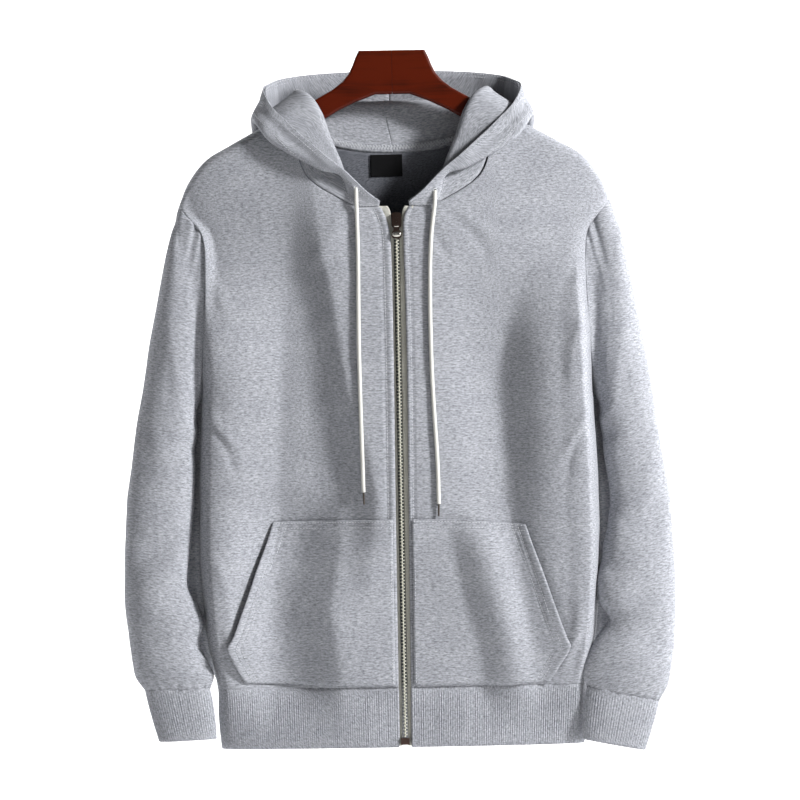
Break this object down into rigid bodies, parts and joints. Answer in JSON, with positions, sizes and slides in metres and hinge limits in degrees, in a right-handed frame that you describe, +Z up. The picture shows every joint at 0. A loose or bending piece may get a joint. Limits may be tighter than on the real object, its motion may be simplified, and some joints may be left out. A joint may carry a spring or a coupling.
{
  "type": "zip-up hoodie on a wooden hanger",
  "caption": "Grey heather fleece hoodie with a full-length zip, patch pockets, drawcords and ribbed cuffs and hem, hanging flat on a wooden hanger with its hood thrown back.",
  "frame": {"origin": "middle of the flat top of the hanger's neck, where the hanger is held", "axes": "+Z up; the front of the hoodie faces -Y; the wearer's left is +X; width along X"},
  "size_m": [0.6078, 0.1168, 0.7764],
  "materials": {
    "wood": "dark red-brown lacquer, satin to gloss",
    "fleece": "grey heather sweatshirt fleece, matte",
    "rib_knit": "grey heather rib knit, matte",
    "zip_teeth": "pale moulded resin, satin",
    "zip_tape": "woven tape, matte",
    "zip_metal": "dull nickel plate",
    "cord_cotton": "braided off-white cotton, matte",
    "cord_tip_metal": "dark crimped metal",
    "label_woven": "black satin weave"
  },
  "bodies": {
    "hoodie": {"hanger_left": "wood", "hanger_right": "wood", "back": "fleece", "front_left": "fleece", "front_right": "fleece", "sleeve_left": "fleece", "sleeve_right": "fleece", "hood_outer_left": "fleece", "hood_outer_right": "fleece", "hood_lining_left": "fleece", "hood_lining_right": "fleece", "pocket_left": "fleece", "pocket_right": "fleece", "cuff_left": "rib_knit", "cuff_right": "rib_knit", "hem_rib": "rib_knit", "zip_chain": "zip_teeth", "zip_tape_left": "zip_tape", "zip_tape_right": "zip_tape", "zip_box": "zip_metal", "zip_slider": "zip_metal", "drawcord_left": "cord_cotton", "drawcord_right": "cord_cotton", "cord_tip_left": "cord_tip_metal", "cord_tip_right": "cord_tip_metal", "neck_label": "label_woven"},
    "pull": {"pull_tab": "zip_metal"}
  },
  "joints": [
    {"name": "pull_tab_hinge", "type": "hinge", "parent": "hoodie", "child": "pull", "pos_m": [0.002, -0.03665, -0.186], "axis": [-1, 0, 0], "range_deg": [0, 165]}
  ]
}
